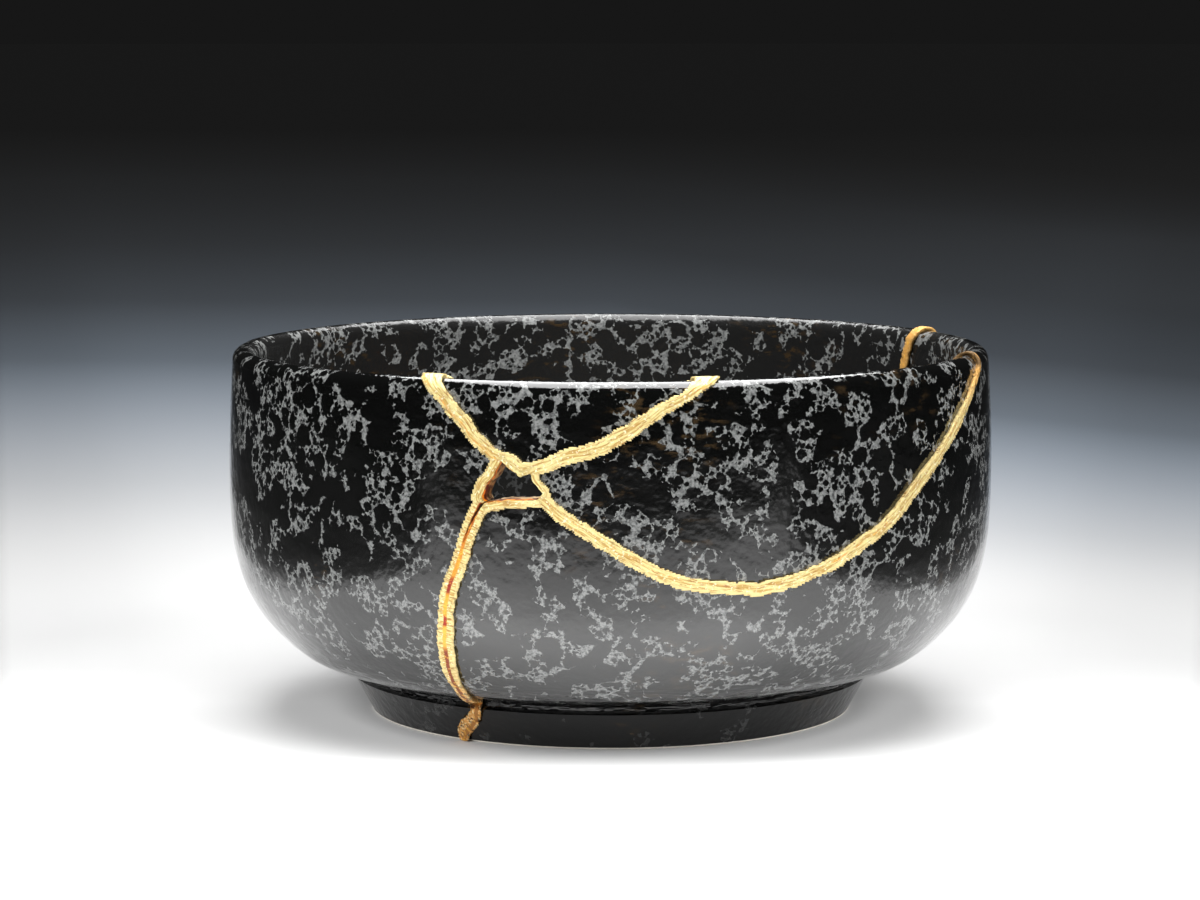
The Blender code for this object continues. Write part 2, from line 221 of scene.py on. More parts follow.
# ---------------------------------------------------------------- node trees
class Wire:
    """One socket of a node tree.  Sums and products of wires add Math nodes; node() adds any other."""

    def __init__(self, tree, socket=None):
        self.tree = tree
        self.socket = socket

    def node(self, kind, settings=None, inputs=None, output=0):
        """Add a node: its settings first, then values or wires for its sockets, by name or number."""
        made = self.tree.nodes.new(kind)
        for name, value in (settings or {}).items():
            if name == 'stops':
                fill_ramp(made.color_ramp, value)
            else:
                setattr(made, name, value)
        for place, value in (inputs or {}).items():
            if isinstance(value, Wire):
                self.tree.links.new(value.socket, made.inputs[place])
            else:
                made.inputs[place].default_value = value
        return Wire(self.tree, made.outputs[output])

    def math(self, operation, *others):
        return self.node('ShaderNodeMath', {'operation': operation}, dict(enumerate((self,) + others)))

    def vector(self, operation, other):
        return self.node('ShaderNodeVectorMath', {'operation': operation}, {0: self, 1: other})

    def scaled(self, factor):
        return self.node('ShaderNodeVectorMath', {'operation': 'SCALE'}, {0: self, 'Scale': factor})

    def xyz(self):
        return [self.node('ShaderNodeSeparateXYZ', None, {0: self}, i) for i in range(3)]

    def __add__(self, other):
        return self.math('ADD', other)

    def __sub__(self, other):
        return self.math('SUBTRACT', other)

    def __rsub__(self, other):
        return self.node('ShaderNodeMath', {'operation': 'SUBTRACT'}, {0: other, 1: self})

    def __mul__(self, other):
        return self.math('MULTIPLY', other)

    def __truediv__(self, other):
        return self.math('DIVIDE', other)

    def __rtruediv__(self, other):
        return self.node('ShaderNodeMath', {'operation': 'DIVIDE'}, {0: other, 1: self})

    __radd__ = __add__
    __rmul__ = __mul__

    def between(self, low, high):
        """0 below low, 1 above high, eased between."""
        return self.node('ShaderNodeMapRange', {'interpolation_type': 'SMOOTHSTEP'},
                         {'Value': self, 'From Min': low, 'From Max': high})

    def ramp(self, stops, length):
        """Colour along stops of (distance, (red, green, blue)), none of them beyond the length."""
        stops = [(at / length, shade + (1.0,)) for at, shade in stops]
        return self.node('ShaderNodeValToRGB', {'stops': stops}, {0: self / length})


def fill_ramp(ramp, stops):
    while len(ramp.elements) > 1:
        ramp.elements.remove(ramp.elements[-1])
    ramp.elements[0].position, ramp.elements[0].color = stops[0]
    for position, colour in stops[1:]:
        ramp.elements.new(position).color = colour


def mix_colour(factor, first, second):
    """Colour that goes from first to second, each a wire or (red, green, blue)."""
    first, second = (shade if isinstance(shade, Wire) else shade + (1.0,) for shade in (first, second))
    return factor.node('ShaderNodeMix', {'data_type': 'RGBA'}, {0: factor, 6: first, 7: second}, 2)


def grain(place, size, detail=2.0, roughness=0.5):
    """Noise whose bumps are about this many metres across."""
    return place.node('ShaderNodeTexNoise', None,
                      {'Vector': place, 'Scale': 1.0 / size, 'Detail': detail, 'Roughness': roughness})


def from_axis(x, y):
    """Distance from the bowl's axis."""
    return (x * x + y * y).math('SQRT')


def new_material(name, **constants):
    """Material with its Principled shader's constants set, its tree's start wire and the shader."""
    material = bpy.data.materials.new(name)
    material.use_nodes = True
    shader = material.node_tree.nodes['Principled BSDF']
    for socket, value in constants.items():
        shader.inputs[socket.replace('_', ' ')].default_value = value
    return material, Wire(material.node_tree), shader


def feed(shader, **wires):
    for socket, wire in wires.items():
        wire.tree.links.new(wire.socket, shader.inputs[socket.replace('_', ' ')])


# ---------------------------------------------------------------- the turned form
def rim_arc(steps):
    centre = (OUTER_WALL[0][0] - WALL / 2, RIM_HEIGHT - WALL / 2)
    return arc(centre, WALL / 2, 180.0, 0.0, steps)


def inner_wall():
    """Inner face from the middle of the well to the rim, as key points."""
    offset = offset_line(OUTER_WALL, -WALL)[::-1]
    return INNER_FLOOR + [tuple(point) for point in offset]


def outer_face(step):
    """From the rim down the outside to the edge the bowl stands on."""
    wall = smooth_line(OUTER_WALL, step)
    foot = smooth_line([FOOT_SHOULDER, (FOOT_OUTER + FOOT_EASE, FOOT_EASE)], step)
    edge = arc((FOOT_OUTER, FOOT_EASE), FOOT_EASE, 0.0, -90.0, 4)
    return np.vstack([wall, FOOT_NECK, foot, edge[1:]])


def under_face(step):
    """From the inner edge of the foot ring over the recess to the middle."""
    edge = arc((FOOT_INNER, FOOT_EASE), FOOT_EASE, -90.0, -180.0, 4)
    recess = smooth_line([(FOOT_INNER - FOOT_EASE, FOOT_EASE), (FOOT_INNER - 1.2, 4.6),
                          (FOOT_INNER - 1.9, 6.8), (FOOT_INNER - 3.6, 7.8),
                          (FOOT_INNER - RECESS_SLOPE, RECESS_HEIGHT)], step)
    return np.vstack([edge, recess[1:]])


def bowl_profile(step, floor_step):
    """Half section, from the middle of the well up the inside, over the rim and down to the foot."""
    inner = smooth_line(inner_wall(), step)
    flat = inner[:, 0] < INNER_FLOOR[-1][0]
    well = smooth_line(INNER_FLOOR, floor_step)[:-1]
    recess = smooth_line([(FOOT_INNER - RECESS_SLOPE, RECESS_HEIGHT), (0.0, RECESS_HEIGHT)], floor_step)
    return np.vstack([well, inner[~flat][:-1], rim_arc(10), outer_face(step)[1:], under_face(step),
                      recess[1:]])


def above_foot(height, given):
    """0 where the foot stands, 1 a little higher, so that it stays flat."""
    return height.between(given['flat_below'], given['flat_below'] * 5.0)


def swelling(place, given):
    """Outward offset of the thrown wall's slow swell, the same on the glaze and on the gold."""
    x, y, z = place.xyz()
    radius = from_axis(x, y)
    swell = grain(place.vector('ADD', given['swell_seed']), given['swell_size'], 0.0)
    depth = (swell - 0.5) * given['swell_depth'] * above_foot(z, given)
    return place.node('ShaderNodeCombineXYZ', None, {0: x / radius * depth, 1: y / radius * depth})


def new_tree(name, result, **sockets):
    """Geometry node tree with named inputs, the swell's among them, and a wire from each."""
    tree = bpy.data.node_groups.new(name, 'GeometryNodeTree')
    sockets.update((name, 'Float') for name in SWELL)
    for socket, kind in sockets.items():
        tree.interface.new_socket(socket.capitalize().replace('_', ' '), in_out='INPUT',
                                  socket_type='NodeSocket' + kind)
    tree.interface.new_socket(result, in_out='OUTPUT', socket_type='NodeSocketGeometry')
    start = tree.nodes.new('NodeGroupInput')
    return tree, {socket: Wire(tree, wire) for socket, wire in zip(sockets, start.outputs)}


def finish_tree(tree, given, shape, place, relief, material):
    """Close the tree: shape with its relief and the wall's swell, as real geometry in its material."""
    offset = shape.node('GeometryNodeInputNormal').scaled(relief).vector('ADD', swelling(place, given))
    shape = shape.node('GeometryNodeSetPosition', None, {'Geometry': shape, 'Offset': offset})
    shape = shape.node('GeometryNodeRealizeInstances', None, {0: shape})
    shape = shape.node('GeometryNodeSetMaterial', None, {'Geometry': shape, 'Material': material})
    end = tree.nodes.new('NodeGroupOutput')
    tree.links.new(shape.socket, end.inputs[0])
    return tree


def turning_tree():
    """Geometry nodes that turn a profile line round the axis and press the glaze's dimples into it."""
    tree, given = new_tree('throw_and_glaze', 'Bowl', profile='Geometry', columns='Int',
                           dimple_size='Float', dimple_depth='Float', glaze='Material')
    profile = given['profile']
    hub, touching = 0.001, 0.00001
    line = profile.node('GeometryNodeMeshToCurve', None, {'Mesh': profile})
    circle = line.node('GeometryNodeCurvePrimitiveCircle', None,
                       {'Resolution': given['columns'], 'Radius': hub})
    turned = line.node('GeometryNodeCurveToMesh', None, {'Curve': circle, 'Profile Curve': line})
    place = line.node('GeometryNodeInputPosition')
    x, y, z = place.xyz()
    radius = from_axis(x, y)
    shrink = (radius - hub) / radius
    snug = place.node('ShaderNodeCombineXYZ', None, {0: x * shrink, 1: y * shrink, 2: z})
    bowl = line.node('GeometryNodeSetPosition', None, {'Geometry': turned, 'Position': snug})
    bowl = line.node('GeometryNodeMergeByDistance', None, {'Geometry': bowl, 'Distance': touching})
    dimples = grain(place.vector('MULTIPLY', (1.0, 1.0, 1.5)), given['dimple_size'], 1.0, 0.4)
    depth = (dimples - 0.5) * given['dimple_depth'] * above_foot(z, given)
    return finish_tree(tree, given, bowl, place, depth, given['glaze'])


def grow_by_nodes(thing, tree, **settings):
    """Give the object a Geometry Nodes modifier, set its inputs and bake it."""
    modifier = thing.modifiers.new(tree.name, 'NODES')
    modifier.node_group = tree
    for item in tree.interface.items_tree:
        key = item.name.lower().replace(' ', '_')
        if key in settings:
            modifier[item.identifier] = settings[key]
    bake_modifiers(thing)


def turned_bowl(name, profile, glaze, columns=COLUMNS, relief=1.0):
    """The whole bowl from its profile, as one closed solid."""
    verts = [(r * MM, -h * MM, 0.0) for r, h in profile]
    mesh = bpy.data.meshes.new(name)
    mesh.from_pydata(verts, [(i, i + 1) for i in range(len(verts) - 1)], [])
    bowl = new_object(name, mesh)
    settings = dict(SWELL, swell_depth=SWELL['swell_depth'] * relief)
    grow_by_nodes(bowl, turning_tree(), columns=columns, dimple_size=DIMPLE_SIZE * MM,
                  dimple_depth=DIMPLE_DEPTH * MM * relief, glaze=glaze, **settings)
    face_outwards(bowl.data)
    return bowl


# ---------------------------------------------------------------- cracks
def wander(rules, amount):
    """Small steps to and fro across a crack, as a break through stoneware has."""
    moved = []
    for outside, inside in rules:
        shake = noise.noise_vector(outside * WANDER_WAVES) * amount * MM
        moved.append((outside + shake, inside + shake * 0.8))
    return moved


def upright_rules(path):
    """Rules across the upright wall for a path of (angle, height) points."""
    return [(at_angle(angle, RULE_OUTSIDE, height), at_angle(angle, RULE_INSIDE, height))
            for angle, height in path]


def round_rules(angles):
    return [(at_angle(angle, *outside), at_angle(angle, *inside))
            for angle, (outside, inside) in zip(angles, ROUND_RULES)]


def long_crack_rules():
    """The long crack: down the front, across the base and up the back, on one smooth sheet."""
    rules = upright_rules(LONG_FRONT) + round_rules(ROUND_FRONT_ANGLES)
    rules += [(Vector((x, y, RULE_BELOW)) * MM, Vector((x, y, RULE_ABOVE)) * MM) for x, y in BASE_CROSSING]
    rules += round_rules(ROUND_BACK_ANGLES)[::-1] + upright_rules(LONG_BACK)
    both = smooth_line([tuple(outside) + tuple(inside) for outside, inside in rules], 1.4 * MM)
    return [(Vector(row[:3]), Vector(row[3:])) for row in both]


def chip_outline(outset):
    """Outline of the missing chip as (angle, height), moved outwards and a little ragged."""
    corners = np.array(CHIP_CORNERS, float) * (DEGREE, 1.0)
    line = []
    for i, corner in enumerate(corners):
        after = corners[(i + 1) % len(corners)]
        steps = max(1, round(np.linalg.norm(after - corner) / 0.6))
        line += [corner + (after - corner) * k / steps for k in range(steps)]
    line = np.array(line)
    run = np.roll(line, -1, axis=0) - np.roll(line, 1, axis=0)
    run /= np.linalg.norm(run, axis=1, keepdims=True)
    ragged = np.array([noise.noise(Vector((x * 1.1, z * 1.1, 7.0))) for x, z in line])
    out = np.column_stack([-run[:, 1], run[:, 0]])
    return (line + out * (outset + RAGGED * ragged)[:, None]) / (DEGREE, 1.0)


def prism(name, outline, roughness):
    """Closed solid through the wall over an outline of (angle, height), its sides rough."""
    verts = []
    radii = np.linspace(RULE_OUTSIDE, RULE_INSIDE, 25)
    for radius in radii:
        for angle, height in outline:
            point = at_angle(angle, radius, height)
            verts.append(point + noise.noise_vector(point * BREAK_WAVES) * roughness * MM)
    count = len(outline)
    faces = [range(count), range(count * (len(radii) - 1), count * len(radii))]
    for ring in range(0, count * (len(radii) - 1), count):
        for i in range(count):
            j = (i + 1) % count
            faces.append((ring + i, ring + j, ring + count + j, ring + count + i))
    mesh = mesh_from_faces(name, verts, faces)
    face_outwards(mesh)
    return new_object(name, mesh)


def slit():
    """The narrow opening that runs down from the missing chip, tapering to nothing."""
    line = smooth_line(np.array(OPEN_SLIT) * (DEGREE, 1.0), 0.7)
    width = np.linspace(*SLIT_HALF, len(line))
    ragged = np.array([0.12 * noise.noise(Vector((x, z, 3.0))) for x, z in line])
    left, right = line.copy(), line.copy()
    left[:, 0] -= width + ragged
    right[:, 0] += width - ragged
    return prism('open_slit', np.vstack([left, right[::-1]]) / (DEGREE, 1.0), LINED)


def ribbon(name, rules):
    """Open sheet through the rules, in triangles."""
    verts = [corner for rule in rules for corner in rule]
    faces = []
    for i in range(0, 2 * len(rules) - 2, 2):
        faces += [(i, i + 1, i + 3), (i, i + 3, i + 2)]
    return mesh_from_faces(name, verts, faces)


def slab(name, rules, width):
    """The sheet thickened evenly to both sides."""
    sheet = new_object(name, ribbon(name, rules))
    thick = sheet.modifiers.new('Thickness', 'SOLIDIFY')
    thick.thickness = width * MM
    thick.offset = 0.0
    bake_modifiers(sheet)
    face_outwards(sheet.data)
    return sheet


def through_cracks(cracks, width):
    """A slab in every crack but the short one above the chip, which only the gold's skin follows."""
    return [slab(name, rules, width) for name, rules in cracks.items() if name != 'chip_top']


def all_cracks():
    """Rules of every crack by name."""
    cracks = {name: wander(upright_rules(smooth_line(path, 1.0)), amount)
              for name, (path, amount) in UPRIGHT_CRACKS.items()}
    cracks['long'] = wander(long_crack_rules(), LONG_WANDER)
    return cracks


# ---------------------------------------------------------------- sherds
# Each sherd is known by a place on its outer face, as (angle, height).
SHERDS = {
    'sherd_left_and_back': (-90.0, 60.0),
    'sherd_front_rim': (-10.0, 78.0),
    'sherd_front_right': (35.0, 70.0),
    'sherd_lower_right': (60.0, 45.0),
}


def loose_parts(mesh):
    """Vertex numbers of each separate body of a mesh."""
    edges = np.empty(len(mesh.edges) * 2, np.int64)
    mesh.edges.foreach_get('vertices', edges)
    first, second = edges.reshape(-1, 2).T
    label = np.arange(len(mesh.vertices))
    while True:
        lowest = np.minimum(label[first], label[second])
        before = label.copy()
        np.minimum.at(label, first, lowest)
        np.minimum.at(label, second, lowest)
        label = label[label]
        if np.array_equal(before, label):
            return label


def keep_part(mesh, keep, name):
    """Copy of the mesh with only the vertices that are kept."""
    shape = bmesh.new()
    shape.from_mesh(mesh)
    shape.verts.ensure_lookup_table()
    bmesh.ops.delete(shape, geom=[v for v in shape.verts if not keep[v.index]], context='VERTS')
    part = bpy.data.meshes.new(name)
    shape.to_mesh(part)
    shape.free()
    for material in mesh.materials:
        part.materials.append(material)
    return part


def coordinates(mesh):
    flat = np.empty(len(mesh.vertices) * 3)
    mesh.vertices.foreach_get('co', flat)
    return flat.reshape(-1, 3)


def make_sherds(cracks, glaze, clay):
    whole = turned_bowl('whole_bowl', bowl_profile(*GLAZE_STEPS), glaze)
    for cut in through_cracks(cracks, CRACK_GAP) + [prism('chip', chip_outline(CHIP_GAP), BROKEN)]:
        cut.data.materials.append(clay)
        combine(whole, cut, 'DIFFERENCE')
    label = loose_parts(whole.data)
    places = coordinates(whole.data)
    for name, (angle, height) in SHERDS.items():
        target = np.array(at_angle(angle, BELLY_RADIUS, height))
        nearest = np.argmin(np.linalg.norm(places - target, axis=1))
        mesh = keep_part(whole.data, label == label[nearest], name)
        mesh.shade_smooth()
        mesh.set_sharp_from_angle(angle=SHARP)
        sherd = new_object(name + '_glazed', mesh)
        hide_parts(name)
        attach(sherd, BODY)
    bpy.data.objects.remove(whole)


# ---------------------------------------------------------------- gold lacquer
# How each seam was laid: its half width, and its groove's depth, width and place across it.
SEAM_STYLE = {
    'rim_left': (1.17, 0.28, 0.35, 0.55),
    'chip_top': (1.0, 0.0, 0.4, 0.0),
    'rim_front': (1.27, 0.12, 0.35, -0.5),
    'sweeping': (1.08, 0.22, 0.3, -0.3),
    'long': (1.42, 0.6, 0.42, 0.1),
}
# How wide each seam is against its usual width, by height; the long one is slimmer behind.
SEAM_WIDTHS = {
    'rim_left': [(81.0, 1.0), (84.5, 1.1)],
    'chip_top': [(0.0, 1.0)],
    'rim_front': [(79.0, 1.0), (85.0, 0.55)],
    'sweeping': [(40.5, 1.0), (48.0, 1.04), (56.0, 1.1), (68.0, 1.04), (74.0, 0.70), (80.0, 0.40),
                 (84.5, 0.1)],
    'long': [(12.0, 0.5), (26.0, 1.0)],
}
SLIM_BACK = 0.7
KNOB = (81.5, 84.5, 0.45)  # the left rim seam ends in a knob: from, full at, extra height
# Unevenness of the gold's outline, as (waves in a metre, size).
WAVER = [(130.0, 0.26), (620.0, 0.20), (1700.0, 0.14)]
SEAM_REACH = 3.4  # no gold lies farther from a crack
NO_GOLD = -9.0  # depth inside the gold's outline where none is near
LIP_REACH = 1.65  # width of the gold round the missing chip
LIP_SLIM = (-14.5, -10.5, 0.78)  # it narrows towards the right: from, full at, share left
LIP_ROLL = 0.35  # how much of its edge is rolled off at the opening
EDGE_ROUND = 1.0  # width over which a bead rises to its full height
BLOCK, BLOCK_REACH = 6, 1.6  # the skin's grid is searched for gold in blocks of this many points
EDGE_DIP = 1.3  # how steeply the skin dips below the glaze outside its outline
SKIN_EDGE = -0.55  # depth outside the outline where the skin ends
LIP = 7  # number of the gold round the missing chip, after the seams'
OPENING_ANGLES, OPENING_HEIGHTS = (-22.0, -8.0), (50.0, 70.5)  # where the chip and the slit are
SLIT_TOP = 58.8  # below this the opening is only the slit
IN_SLIT = 20.0  # value of 'sunk' inside the slit


def away_from_rule(point, rule):
    """Distance of a point from the straight line of a rule."""
    outside, inside = rule
    return (point - outside).cross((inside - outside).normalized()).length


class Sheet:
    """The sheet a crack follows through the wall."""

    def __init__(self, rules):
        mesh = ribbon('sheet', rules)
        self.tree = BVHTree.FromPolygons([v.co for v in mesh.vertices],
                                         [p.vertices for p in mesh.polygons])
        middles = np.array([(a + b) / 2 for a, b in rules])
        steps = np.linalg.norm(np.diff(middles, axis=0), axis=1)
        self.along = np.concatenate([[0.0], np.cumsum(steps)])
        self.rules = rules

    def find(self, point, reach):
        """How far a point lies across the sheet, signed, and along it, or None out of reach."""
        found, normal, index, distance = self.tree.find_nearest(point, reach * MM)
        if found is None:
            return None
        side = -1.0 if (point - found).dot(normal) < 0.0 else 1.0
        first = index // 2
        before = away_from_rule(found, self.rules[first])
        after = away_from_rule(found, self.rules[first + 1])
        share = before / max(before + after, 1e-9)
        along = self.along[first] + (self.along[first + 1] - self.along[first]) * share
        return side * distance / MM, along / MM


class Seams:
    """Measures how deep inside the gold's outline a point of the glaze lies, and where along a seam."""

    def __init__(self, cracks):
        self.sheets = {name: Sheet(rules) for name, rules in cracks.items()}
        self.outline = chip_outline(0.0)
        closed = np.vstack([self.outline, self.outline[:1]])
        self.lip = Sheet(upright_rules(closed))

    def inside_chip(self, point):
        angle, height = angle_of(point), point.z / MM
        x, z = self.outline.T
        x2, z2 = np.roll(x, -1), np.roll(z, -1)
        crosses = (z > height) != (z2 > height)
        if not crosses.any():
            return False
        hits = x[crosses] + (height - z[crosses]) * (x2 - x)[crosses] / (z2 - z)[crosses]
        return bool((hits > angle).sum() % 2)

    def near(self, point, reach):
        """Whether any gold may lie within reach of the point."""
        span = (reach + LIP_REACH) * MM
        sheets = list(self.sheets.values()) + [self.lip]
        return any(sheet.tree.find_nearest(point, span)[0] is not None for sheet in sheets)

    def read(self, point):
        """(depth inside the outline, groove depth, along, across, seam number) at a point."""
        waves = [noise.noise(point * often) for often, size in WAVER]
        swing = sum(size * wave for (often, size), wave in zip(WAVER, waves))
        height = point.z / MM
        best = (NO_GOLD, 0.0, 0.0, 0.0, 0)
        for number, (name, sheet) in enumerate(self.sheets.items()):
            lies = sheet.find(point, SEAM_REACH)
            if lies is None:
                continue
            across, along = lies
            half, furrow, furrow_width, furrow_side = SEAM_STYLE[name]
            width = np.interp(height, *zip(*SEAM_WIDTHS[name]))
            if name == 'long' and point.y > 0.0:
                width = SLIM_BACK
            depth = half * width + swing - abs(across)
            if depth > best[0]:
                ease = (across - furrow_side) / furrow_width
                groove = furrow * math.exp(-ease * ease)
                if name == 'rim_left':
                    groove -= float(np.interp(height, KNOB[:2], (0.0, KNOB[2]))) * (1.0 + 0.6 * waves[1])
                best = (depth, groove, along, across, number)
        lies = self.lip.find(point, SEAM_REACH)
        if lies is not None:
            gap, along = abs(lies[0]), lies[1]
            if self.inside_chip(point):
                gap = -gap
            reach = LIP_REACH * float(np.interp(angle_of(point), LIP_SLIM[:2], (1.0, LIP_SLIM[2])))
            lip = min(reach + swing - gap, gap + LIP_ROLL)
            if lip > best[0]:
                best = (lip, best[1], along, gap, LIP)
            if gap + LIP_ROLL < best[0]:
                best = (gap + LIP_ROLL,) + best[1:]
        return best


def bead_height(depth, groove):
    """Height of the gold over the glaze for depths inside its outline; below the glaze outside it."""
    share = np.clip(depth / EDGE_ROUND, 0.0, 1.0)
    rise = BEAD * np.sqrt(1.0 - (1.0 - share) ** 2) - groove * share
    return np.where(depth > 0.0, rise, EDGE_DIP * depth)


def shell_grid(profile, step):
    """Points and normals of the turned surface along a profile, about a step apart."""
    line = np.array(profile)
    run = np.gradient(line, axis=0)
    run /= np.linalg.norm(run, axis=1, keepdims=True)
    columns = round(2 * math.pi * BELLY_RADIUS / step)
    turns = np.linspace(0.0, 2 * math.pi, columns, endpoint=False) + math.radians(SKIN_JOIN)
    sine, cosine = np.sin(turns), -np.cos(turns)
    r, h = line[:, :1], line[:, 1:]
    points = np.stack([r * sine, r * cosine, np.repeat(h, columns, axis=1)], axis=-1) * MM
    nr, nh = -run[:, 1:], run[:, :1]
    normals = np.stack([nr * sine, nr * cosine, np.repeat(nh, columns, axis=1)], axis=-1)
    return tuple(np.concatenate([grid, grid[:, :1]], axis=1) for grid in (points, normals))


def plan_grid(radius, step, height_at, up):
    """Points and normals of the middle of the bowl, on a square grid seen in plan."""
    ticks = np.arange(-radius, radius + step / 2, step)
    x, y = np.meshgrid(ticks, ticks)
    far = np.hypot(x, y)
    points = np.stack([x, y, height_at(far)], axis=-1) * MM
    normals = np.zeros_like(points)
    normals[..., 2] = up
    if up < 0.0:
        points = points[:, ::-1]
    return points, normals


def even_mask(cells):
    """Fill cells that touch only at a corner, so that the skin stays one clean surface."""
    while True:
        a, b = cells[:-1, :-1], cells[:-1, 1:]
        c, d = cells[1:, :-1], cells[1:, 1:]
        pinched = (a & d & ~b & ~c) | (b & c & ~a & ~d)
        if not pinched.any():
            return cells
        rows, columns = np.nonzero(pinched)
        for i in (0, 1):
            for j in (0, 1):
                cells[rows + i, columns + j] = True


def snap_to_outline(points, depth):
    """Shift the grid's points nearest to the gold's outline onto it, so that its edge runs smooth."""
    down, right = np.gradient(depth)
    steep = np.maximum(down ** 2 + right ** 2, 1e-6)
    shift_down, shift_right = -depth * down / steep, -depth * right / steep
    near = (np.abs(shift_down) <= 0.5) & (np.abs(shift_right) <= 0.5) & (np.abs(depth) < 0.4)
    moved = points + shift_down[..., None] * np.gradient(points, axis=0)
    moved += shift_right[..., None] * np.gradient(points, axis=1)
    points[near] = moved[near]
    depth[near] = 0.0


def read_grid(points, seams):
    """Depth inside the gold's outline and groove depth at each point of a grid."""
    rows, columns = points.shape[:2]
    depth, groove = np.full((rows, columns), NO_GOLD), np.zeros((rows, columns))
    # Only the blocks of the grid that any gold comes near are read.
    wanted = np.zeros((rows, columns), bool)
    for i in range(0, rows, BLOCK):
        for j in range(0, columns, BLOCK):
            if seams.near(Vector(points[i, j]), BLOCK_REACH):
                wanted[max(i - BLOCK, 0):i + BLOCK + 1, max(j - BLOCK, 0):j + BLOCK + 1] = True
    for i, j in zip(*np.nonzero(wanted)):
        depth[i, j], groove[i, j] = seams.read(Vector(points[i, j]))[:2]
    return depth, groove


def split_cells(cells, number, depth):
    """Two triangles for each cell, split along the line that lies nearer to the outline."""
    i, j = np.nonzero(cells)
    corners = [(i, j), (i, j + 1), (i + 1, j + 1), (i + 1, j)]
    a, b, c, d = (number[corner] for corner in corners)
    far = [np.abs(depth[corner]) for corner in corners]
    first = far[0] + far[2] < far[1] + far[3]
    return np.vstack([np.column_stack([a, b, np.where(first, c, d)]),
                      np.column_stack([np.where(first, a, b), c, d])])


def close_sheet(faces, count):
    """Triangles of a closed skin: the sheet, its copy underneath and the sides between them."""
    starts, ends = faces.ravel(), np.roll(faces, -1, axis=1).ravel()
    many = 2 * count
    open_edge = ~np.isin(ends * many + starts, starts * many + ends)
    a, b = starts[open_edge], ends[open_edge]
    sides = np.vstack([np.column_stack([b, a, a + count]), np.column_stack([b, a + count, b + count])])
    return np.vstack([faces, faces[:, ::-1] + count, sides])


def gold_skin(name, grid, seams, lowered=0.0):
    """Closed skin of gold over one part of the surface, from a grid of its points and normals."""
    points, normals = grid
    depth, groove = read_grid(points, seams)
    snap_to_outline(points, depth)
    height = np.maximum(bead_height(depth, groove), -SEAM_PROUD) - lowered
    good = depth > SKIN_EDGE
    cells = even_mask(good[:-1, :-1] & good[1:, :-1] & good[:-1, 1:] & good[1:, 1:])
    rows, columns = cells.shape
    used = np.zeros_like(good)
    for i in (0, 1):
        for j in (0, 1):
            used[i:rows + i, j:columns + j] |= cells
    number = np.cumsum(used).reshape(used.shape) - 1
    top = points[used] + normals[used] * (height[used] * MM)[:, None]
    bottom = points[used] - normals[used] * SEAM_ROOT * MM
    faces = close_sheet(split_cells(cells, number, depth), len(top))
    mesh = mesh_from_faces(name, np.vstack([top, bottom]), faces)
    face_outwards(mesh)
    return new_object(name, mesh)


def gold_through_wall(cracks):
    """The lacquer inside the wall: a sheet in each crack and a lining round the opening."""
    core = turned_bowl('core', bowl_profile(*CORE_STEPS), None, CORE_COLUMNS, 0.0)
    fills = through_cracks(cracks, CRACK_FILL) + [prism('lining', chip_outline(LINING), LINED)]
    for fill in fills:
        combine(fill, new_object('core_copy', core.data.copy()), 'INTERSECT')
    bpy.data.objects.remove(core)
    return fills


def paint_marks(gold, seams):
    """Keep on each point where it lies on its seam, for the brush marks and the colour."""
    places = coordinates(gold.data)
    wall = smooth_line(OUTER_WALL, 0.5)[::-1]
    edge, groove, along, across, number = np.array([seams.read(Vector(place)) for place in places]).T
    # The long seam is ribbed: it was brushed across.  Each seam has its own part of the pattern.
    ribbed = number == list(seams.sheets).index('long')
    brush = np.column_stack([np.where(ribbed, across, along), np.where(ribbed, along, across),
                             number * 60.0])
    edge = np.clip(edge, -1.0, 3.0)
    radius = np.hypot(places[:, 0], places[:, 1]) / MM
    angle = np.degrees(np.arctan2(places[:, 0], -places[:, 1]))
    sunk = np.interp(places[:, 2] / MM, wall[:, 1], wall[:, 0]) - radius
    height = places[:, 2] / MM
    sunk[(angle < OPENING_ANGLES[0]) | (angle > OPENING_ANGLES[1])] = -1.0
    sunk[(height < OPENING_HEIGHTS[0]) | (height > OPENING_HEIGHTS[1])] = -1.0
    sunk[(height < SLIT_TOP) & (sunk > SEAM_ROOT)] = IN_SLIT
    for name, kind, values in (('brush', 'FLOAT_VECTOR', brush.ravel()), ('groove', 'FLOAT', groove),
                               ('edge', 'FLOAT', edge), ('sunk', 'FLOAT', sunk)):
        marks = gold.data.attributes.new(name, kind, 'POINT')
        marks.data.foreach_set('vector' if kind == 'FLOAT_VECTOR' else 'value', values)


def brushing_tree():
    """Geometry nodes that draw the brush's ridges and grains into the gold."""
    tree, given = new_tree('brush_the_lacquer', 'Seam', bead='Geometry', ridge_depth='Float',
                           ridge_spacing='Float', grain_depth='Float', grain_size='Float',
                           lacquer='Material')
    bead = given['bead']
    marks = bead.node('GeometryNodeInputNamedAttribute', {'data_type': 'FLOAT_VECTOR'}, {'Name': 'brush'})
    edge = bead.node('GeometryNodeInputNamedAttribute', {'data_type': 'FLOAT'}, {'Name': 'edge'})
    place = bead.node('GeometryNodeInputPosition')
    strokes = grain(marks.vector('MULTIPLY', (0.16, 1.0, 1.0)), given['ridge_spacing'], 2.0, 0.6)
    grains = grain(place, given['grain_size'], 1.0)
    depth = (strokes - 0.5) * given['ridge_depth'] + (grains - 0.5) * given['grain_depth']
    return finish_tree(tree, given, bead, place, depth * edge.between(0.0, 0.7), given['lacquer'])


